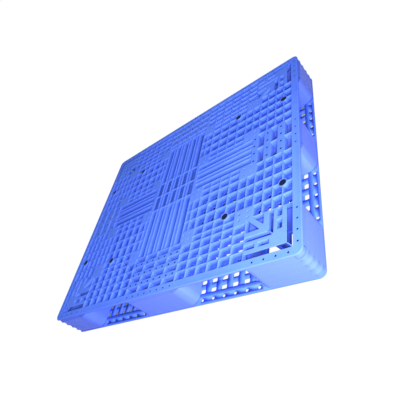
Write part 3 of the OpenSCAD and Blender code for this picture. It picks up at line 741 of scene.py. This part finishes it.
def sockets(skin, t, top, inner):
    """Stepped bores for the plugs, with a hair-fine edge at each step."""
    stem = plug_stem_d / 2 + plug_gap - socket_r
    barb = barb_d / 2 + plug_gap - socket_r
    seat, e = t - plug_head_t, hair_edge
    skin.pierce(circles(mirrored_spots(plug_spots), socket_r, plug_steps), through_rows(t)[:2] + [
        (0, seat + e, -1, 0, 0), (-e, seat, 0, 1, 0), (stem + e, seat, 0, 1, 0), (stem, seat - e, -1, 0, 0),
        (stem, barb_t + e, -1, 0, 0), (stem + e, barb_t, 0, -1, 0),
        (barb - e, barb_t, 0, -1, 0), (barb, barb_t - e, -1, 0, 0),
        (barb, e, -1, 0, 0), (barb + e, 0, 0, -1, 0)], top, inner)


def rim_drains(skin, t, top):
    """Drains through the rim over the lanes, each with a wide hollow on the outer face.

    A drain's lower ring lies on the slope under the rim: its height falls from the slope's start to zero
    across the lead-in. Returns those rings.
    """
    deep = rim_drain_d + 2 * rim_drain_ledge
    rise = t - rim_edge_t
    rings = []
    for x, y, wide, long in (
            ((side_ribs_x[:-1] + side_ribs_x[1:]) / 2, half_w - rim_w / 2, pitch_x - 2 * drain_margin, deep),
            (half_l - rim_w / 2, (end_ribs_y[:-1] + end_ribs_y[1:]) / 2, deep, pitch_y - 2 * drain_margin)):
        spots = mirrored_spots(np.stack(np.broadcast_arrays(x, y), -1))
        half = np.array([wide, long]) / 2
        loops = rounded_rects(rects_from(spots - half, spots + half), rim_hollow_r, drain_steps // 4)
        hollow = skin.carry(loops, blind_rows(t, t / 2, fillet=0.3))
        base, out = circles(spots, rim_drain_d / 2, drain_steps)
        inward = np.minimum(half_l - np.abs(base[..., 0]), half_w - np.abs(base[..., 1]))
        foot = rise * (1 - inward / lead_in_w)
        bore = skin.carry((base, out), [
            (hair_edge, t / 2, 0, 1, 0), (0, t / 2 - hair_edge, -1, 0, 0), (0, foot, -0.7, -0.7, 0)])
        skin.strip(hollow[:, -1], bore[:, 0])
        top.append(hollow[:, 0])
        rings.append(bore[:, -1])
    return rings


def deck(t, plugged):
    """One grid deck with its inner face at height zero: rim, wells and the two flat faces between them."""
    skin = Skin()
    top, inner, slope = [], [], []
    edge, under_out, under_in, foot = rim(skin, t)
    pits(skin, t, top, inner, plugged)
    open_pockets(skin, t, top, inner)
    round_holes(skin, t, top, inner)
    corner_slots(skin, t, top, inner)
    if plugged:
        sockets(skin, t, top, inner)
    else:
        slope = rim_drains(skin, t, top)
    skin.fill(edge, top)
    skin.fill(foot, inner, up=False)
    skin.fill(under_out, [under_in] + slope, up=False)
    return skin


def block(outline, cavities, rows):
    """A hollow block between the decks: an outer wall, cavities right through and two flat ends."""
    skin = Skin()
    wall = skin.carry(outline, rows, solid=True)
    wells = [skin.carry(loops, through_rows(block_high, block_low, wear_and_shade=0.0)) for loops in cavities]
    skin.fill(wall[:, 0], [well[:, 0] for well in wells])
    skin.fill(wall[:, -1], [well[:, -1] for well in wells], up=False)
    return skin


def plain_rows():
    """A block's wall: straight, with a fine rounded edge at both decks."""
    return [(-fine_edge, block_high, 0, 1, light_wear), (0, block_high - fine_edge, 1, 0, edge_wear),
            (0, block_low + fine_edge, 1, 0, edge_wear), (-fine_edge, block_low, 0, -1, light_wear)]


def ridged_rows(depth):
    """A corner block's wall, ring by ring from the top: hollows as deep as `depth`, ridges out to the corner.

    Every ring's offset is minus the smaller of its own limit and the hollow's depth at that point, so ridges
    and hollows run out together in the crease on both faces.
    """
    ridged = depth > 0
    rows = [(-np.minimum(limit, depth), z, np.where(ridged, aside, 1), up * ridged, wear_and_shade * ridged)
            for limit, z, aside, up, wear_and_shade in ridge_profile(block_low, block_high)]
    first = (rows[0][0] - fine_edge, block_high, 0, 1, light_wear)
    last = (rows[-1][0] - fine_edge, block_low, 0, -1, light_wear)
    return [first] + rows + [last]


def corner_outline():
    """A first-quarter corner block's outline with the depth of its ridged corner's hollows at each point.

    The outline is a rounded rectangle whose third corner gives way to the ridged one.
    """
    base, out = rounded_rects((lane_x1, half_l, lane_y1, half_w), block_r, block_steps)
    ridged, ways, deep = corner_path()
    before, after = 2 * block_steps, 3 * block_steps
    base, out = (np.concatenate([a[0, :before], b, a[0, after:]]) for a, b in ((base, ridged), (out, ways)))
    depth = np.zeros(len(base))
    depth[before:before + len(deep)] = np.maximum(deep, 0)
    return base[None], out[None], depth


def corner_blocks(material):
    """Four ridged corner blocks, each with two cavities beside a diagonal web."""
    base, out, depth = corner_outline()
    wall = block_wall
    lean = web_t / 2 ** 0.5
    x0, x1, y0, y1 = lane_x1 + wall, half_l - wall, lane_y1 + wall, half_w - wall
    shift = rim_x - rim_y
    first = [(y0 + shift + lean, y0), (x1, y0), (x1, x1 - shift - lean)]
    second = [(x0, x0 - shift + lean), (y1 + shift - lean, y1), (x0, y1)]
    cavities = [
        rounded_polygon(first, [diagonal_corner_r, block_r - wall, far_corner_r], cavity_steps),
        rounded_polygon(second, [diagonal_corner_r, far_corner_r, block_r - wall], cavity_steps)]
    for (sx, sy), end, side in zip(quarters, ("left", "right") * 2, ("front", "front", "rear", "rear")):
        outline, *hollows = [to_quarter(loops, sx, sy) for loops in [(base, out)] + cavities]
        skin = block(outline, hollows, ridged_rows(depth[::sx * sy]))
        name = f"corner_block_{side}_{end}"
        skin.piece("shell_" + name, name, "block_plastic", material)


def plain_block(name, edges_x, edges_y, material):
    """A block whose cavities lie between webs at the given lines both ways."""
    low, high = node_box(name)
    x0, y0, x1, y1 = low[0], low[1], high[0], high[1]
    outline = rounded_rects((x0, x1, y0, y1), block_r, block_steps)
    wall = block_wall - web_t / 2
    xs, ys = np.r_[x0 + wall, edges_x, x1 - wall], np.r_[y0 + wall, edges_y, y1 - wall]
    cells = inset(between(xs, ys), web_t / 2)
    radii = np.full(cells.shape, web_corner_r)
    for k, (i, j) in enumerate(((0, 0), (-1, 0), (-1, -1), (0, -1))):
        radii[i, j, k] = block_r - block_wall
    cavity = rounded_rects(cells.reshape(-1, 4), radii.reshape(-1, 4), cavity_steps)
    block(outline, [cavity], plain_rows()).piece("shell_" + name, name, "block_plastic", material)


def plug(spot):
    """A plug turned about its own axis: dished face, raised ring, rounded edge, head, stem and barb."""
    skin = Skin()
    head, stem, barb = plug_d / 2, plug_stem_d / 2, barb_d / 2
    seat, ledge = plug_gap - plug_head_t, barb_t - plug_gap - top_t
    e, barb_edge, head_edge = hair_edge, 0.1, 0.3
    eye_r, dish_r, ring_in, ring_out = 3.0, 9.5, 11.2, 12.6
    eye_depth, dish_depth, edge_drop = 0.9, 0.8, 1.4
    face = [(eye_r, -eye_depth, 0, 1, 0), (dish_r, -dish_depth, -0.1, 1, 0)]
    ring = [(ring_in - 4 * e, -e, -0.6, 0.8, 1), (ring_in, 0, 0, 1, 1),
            (ring_out, 0, 0, 1, 0.8), (ring_out + 5 * e, -2 * e, 0.7, 0.7, 1)]
    under = [(head, -edge_drop, 1, 0, 0.5), (head, seat + head_edge, 1, 0, 0),
             (head - head_edge, seat, 0, -1, 0)]
    shank = [(stem + e, seat, 0, -1, 0), (stem, seat - e, 1, 0, 0), (stem, ledge + barb_edge, 1, 0, 0)]
    tip = [(barb - barb_edge, ledge, 0, 1, 0), (barb, ledge - barb_edge, 1, -0.5, 0),
           (stem, barb_edge - top_t, 1, -0.5, 0), (stem - e, -top_t, 0, -1, 0)]
    rows = [(r - head, z, aside, up, wear_and_shade) for r, z, aside, up, wear_and_shade in face + ring + under + shank + tip]
    rings = skin.carry(circles((0, 0), head, plug_steps), rows, solid=True)
    skin.cap(rings[:, 0])
    skin.cap(rings[:, -1], up=False)
    skin.points = [p + np.array([spot[0], spot[1], height]) for p in skin.points]
    return skin


class Graph:
    """A node tree filled by calls, each of which gives the output that the next ones read."""

    def __init__(self, owner):
        owner.use_nodes = True
        self.tree = owner.node_tree
        self.tree.nodes.clear()

    def add(self, kind, settings=None, **inputs):
        """A node; an input is named, or numbered after an underscore, and takes a value or an output."""
        node = self.tree.nodes.new("ShaderNode" + kind)
        for key, value in (settings or {}).items():
            setattr(node, key, value)
        for key, value in inputs.items():
            socket = node.inputs[int(key[1:]) if key[0] == "_" else key.replace("_", " ")]
            if isinstance(value, bpy.types.NodeSocket):
                self.tree.links.new(value, socket)
            else:
                socket.default_value = value
        return node.outputs

    def math(self, operation, *values, clamp=False):
        """A sum on numbers."""
        inputs = {f"_{k}": value for k, value in enumerate(values)}
        return self.add("Math", {"operation": operation, "use_clamp": clamp}, **inputs)[0]

    def vector(self, operation, *values):
        """A sum on vectors; all its outputs."""
        inputs = {f"_{k}": value for k, value in enumerate(values)}
        return self.add("VectorMath", {"operation": operation}, **inputs)

    def ramp(self, value, low, high, first=0.0, last=1.0):
        """A value between low and high spread from first to last, and held beyond."""
        return self.add(
            "MapRange", Value=value, From_Min=low, From_Max=high, To_Min=first, To_Max=last)["Result"]

    def blend(self, share, colour, other):
        """A colour with a share of another."""
        return self.add("Mix", {"data_type": "RGBA"}, _0=share, _6=colour, _7=other)[2]

    def noise(self, where, scale, detail, rough, twist=0.0):
        return self.add(
            "TexNoise", Vector=where, Scale=scale, Detail=detail, Roughness=rough, Distortion=twist)["Fac"]

    def here(self):
        return self.add("TexCoord")["Object"]

    def wear_and_shade(self):
        """The wear value, with painted shade below zero, that the piece's points carry."""
        return self.add("Attribute", {"attribute_name": "wear_and_shade"})["Fac"]

    def outermost(self, where):
        """The larger of X and Y, as shares of the pallet's half length and half width."""
        share = self.vector("DIVIDE", where, (half_l * MM, half_w * MM, 1))["Vector"]
        x, y, _ = self.add("SeparateXYZ", Vector=self.vector("ABSOLUTE", share)["Vector"])
        return self.math("MAXIMUM", x, y)


def plastic(name, deep, pale, scuffed, side_tint, sheen):
    """Moulded polyethylene: uneven tone, a fine grain, and scuffs where the wear value is high.

    A value below zero is painted shade: the colour goes dark there. The pallet's outer sides take one set
    colour, where faces are upright and `outermost` is near one.
    """
    material = bpy.data.materials.new(name)
    g = Graph(material)
    # Dark blue of the painted shade in pits, holes and pockets
    painted_shade_colour = (0.006, 0.012, 0.06, 1)
    where, rubbing_and_shade = g.here(), g.wear_and_shade()
    broad = g.noise(where, scale=2.6, detail=3.0, rough=0.55)
    cloud = g.noise(where, scale=28.0, detail=5.0, rough=0.65)
    stretch = g.add("Mapping", Vector=where, Scale=(1.0, 3.2, 1.6), Rotation=(0.0, 0.0, 0.5))["Vector"]
    rub = g.noise(stretch, scale=46.0, detail=6.0, rough=0.7, twist=0.8)
    grain = g.noise(where, scale=1100.0, detail=2.0, rough=0.6)

    tone = g.math("MULTIPLY_ADD", cloud, 0.45, broad)
    colour = g.blend(g.ramp(tone, 0.45, 1.0), deep, pale)
    scuff = g.math("MULTIPLY", g.ramp(rub, 0.52, 0.78), rubbing_and_shade)
    rubbed = g.math("MULTIPLY", rubbing_and_shade, 0.3, clamp=True)
    colour = g.blend(g.math("MULTIPLY_ADD", scuff, 0.4, rubbed, clamp=True), colour, scuffed)
    slope = g.add("SeparateXYZ", Vector=g.add("NewGeometry")["Normal"])["Z"]
    upright = g.ramp(g.math("ABSOLUTE", slope), 0.9, 0.5)
    outside = g.math("MULTIPLY", g.ramp(g.outermost(where), 0.972, 0.982), upright)
    colour = g.blend(outside, colour, side_tint)
    # Painted shade: below zero the colour goes towards the dark blue
    colour = g.blend(g.math("MULTIPLY", rubbing_and_shade, -1.0, clamp=True), colour, painted_shade_colour)

    rough = g.math("MULTIPLY_ADD", scuff, 0.16, g.ramp(cloud, 0.25, 0.75, 0.34, 0.5))
    relief = g.math("MULTIPLY_ADD", rub, 0.35, grain)
    bump = g.add("Bump", Height=relief, Strength=0.12, Distance=0.0006)["Normal"]
    skin = g.add("BsdfPrincipled", Base_Color=colour, Roughness=rough, Normal=bump, Specular_IOR_Level=sheen)[0]
    g.add("OutputMaterial", Surface=skin)
    return material


def rubber(name, body, bloom):
    """Dark rubber: a dusty bloom over a purple-black body, with a fine grain."""
    material = bpy.data.materials.new(name)
    g = Graph(material)
    where = g.here()
    dust = g.ramp(g.noise(where, scale=140.0, detail=5.0, rough=0.7), 0.45, 0.75)
    grain = g.noise(where, scale=1500.0, detail=2.0, rough=0.5)
    colour = g.blend(g.math("MULTIPLY_ADD", g.wear_and_shade(), 0.15, dust), body, bloom)
    bump = g.add("Bump", Height=grain, Strength=0.2, Distance=0.0005)["Normal"]
    skin = g.add("BsdfPrincipled", Base_Color=colour, Roughness=0.6, Normal=bump, Specular_IOR_Level=0.2)[0]
    g.add("OutputMaterial", Surface=skin)
    return material


outer_face = (0.102, 0.177, 0.86, 1)
deck_plastic = plastic(
    "deck_plastic", (0.066, 0.16, 0.84, 1), (0.104, 0.225, 0.94, 1), (0.19, 0.34, 0.96, 1), outer_face, 0.0)
block_plastic = plastic(
    "block_plastic", (0.074, 0.14, 0.78, 1), (0.11, 0.195, 0.88, 1), (0.21, 0.34, 0.96, 1), outer_face, 0.05)
plug_rubber = rubber("plug_rubber", (0.004, 0.005, 0.028, 1), (0.014, 0.014, 0.07, 1))

deck(top_t, True).piece("top_grid", "top_deck", "deck_plastic", deck_plastic, lift=height - top_t)
deck(bottom_t, False).piece(
    "bottom_grid", "bottom_deck", "deck_plastic", deck_plastic, turn=(1, -1, -1), lift=bottom_t)
corner_blocks(block_plastic)
side_webs = np.array([-0.5, 0, 0.5]) * side_zone_x
plain_block("side_block_rear", side_webs, strips_y[1], block_plastic)
plain_block("side_block_front", side_webs, -strips_y[1], block_plastic)
plain_block("end_block_right", strips_x[1], 0, block_plastic)
plain_block("end_block_left", -strips_x[1], 0, block_plastic)
plain_block("centre_block", np.array([-0.5, 0.5]) * slat_pitch_x, 0, block_plastic)
all_plugs = (plug_spots[:, None] * quarters).reshape(-1, 2)
for number, spot in enumerate(all_plugs, 1):
    plug(spot).piece(f"rubber_{number}", f"plug_{number}", "plug_rubber", plug_rubber)

# Floor: white where it is looked at straight, with a shadow near the pallet and a deep one under its far part
floor_size, floor_gap = 24, 0.0005
shade_near, shade_from, shade_to = 0.88, 0.9, 2.0
shade_deep, under_from = 0.12, 0.97
lit_corner, lit_from, lit_to = (half_l * MM, -half_w * MM, 0), 0.65, 0.9
bpy.ops.mesh.primitive_plane_add(size=floor_size)
floor = bpy.context.object
floor.name = "floor"
floor_white = bpy.data.materials.new("floor_white")
g = Graph(floor_white)
ray, where = g.add("LightPath"), g.here()
seen = g.math("MAXIMUM", ray["Is Camera Ray"], ray["Is Glossy Ray"])
seen = g.math("MAXIMUM", seen, ray["Is Transmission Ray"])
glowing = g.ramp(g.vector("LENGTH", where)["Value"], shade_from, shade_to, shade_near)
outside = g.ramp(g.outermost(where), under_from, 1.0)
near = g.ramp(g.vector("DISTANCE", where, lit_corner)["Value"], lit_to, lit_from)
glowing = g.math("MULTIPLY", glowing, g.ramp(g.math("MAXIMUM", outside, near), 0.0, 1.0, shade_deep))
matt = g.add("BsdfDiffuse", Color=(0.25, 0.25, 0.27, 1))[0]
glow = g.add("Emission", Color=(1, 1, 1, 1), Strength=1.12)[0]
white = g.add("MixShader", _0=g.math("MULTIPLY", seen, glowing), _1=matt, _2=glow)[0]
below = g.add("NewGeometry")["Backfacing"]
clear = g.add("BsdfTransparent")[0]
g.add("OutputMaterial", Surface=g.add("MixShader", _0=below, _1=white, _2=clear)[0])
floor.data.materials.append(floor_white)
floor.location.z = -floor_gap

# Surroundings: white to the camera, and a softer light on everything else
world_light = 0.47
world = bpy.data.worlds.new("studio")
bpy.context.scene.world = world
g = Graph(world)
strength = g.ramp(g.add("LightPath")["Is Camera Ray"], 0.0, 1.0, world_light)
g.add("OutputWorld", Surface=g.add("Background", Color=(1, 1, 1, 1), Strength=strength)[0])


def lamp(name, place, aim, size, power, colour):
    """A square soft light at a place, turned to face its aim."""
    data = bpy.data.lights.new(name, "AREA")
    data.size = size
    data.energy = power
    data.color = colour
    shown = bpy.data.objects.new(name, data)
    shown.location = place
    shown.rotation_euler = (Vector(aim) - Vector(place)).to_track_quat("-Z", "Y").to_euler()
    shown.visible_glossy = False
    bpy.context.scene.collection.objects.link(shown)


lamp("near_light", place=(1.1, -1.2, 0.93), aim=(0.1, -0.1, 0.1), size=0.3, power=35, colour=(1, 0.965, 1))
lamp("low_light", place=(1.35, -1.45, 0.5), aim=(0.4, -0.4, 0.08), size=0.4, power=25, colour=(1, 0.95, 0.97))

# The photo's view: place in metres, turn in degrees, and lens and sensor in millimetres
view_place = (1.06070279, -1.1305758, 0.93173715)
view_turn = (47.95416669, 39.9856703, 11.59110053)
view_lens, sensor_w = 32.9245, 36.0
camera = bpy.data.objects.new("camera", bpy.data.cameras.new("camera"))
camera.location = view_place
camera.rotation_euler = Euler(np.radians(view_turn), "XYZ")
camera.data.lens = view_lens
camera.data.sensor_width = sensor_w
bpy.context.scene.collection.objects.link(camera)
bpy.context.scene.camera = camera
bpy.context.scene.view_settings.view_transform = "Standard"
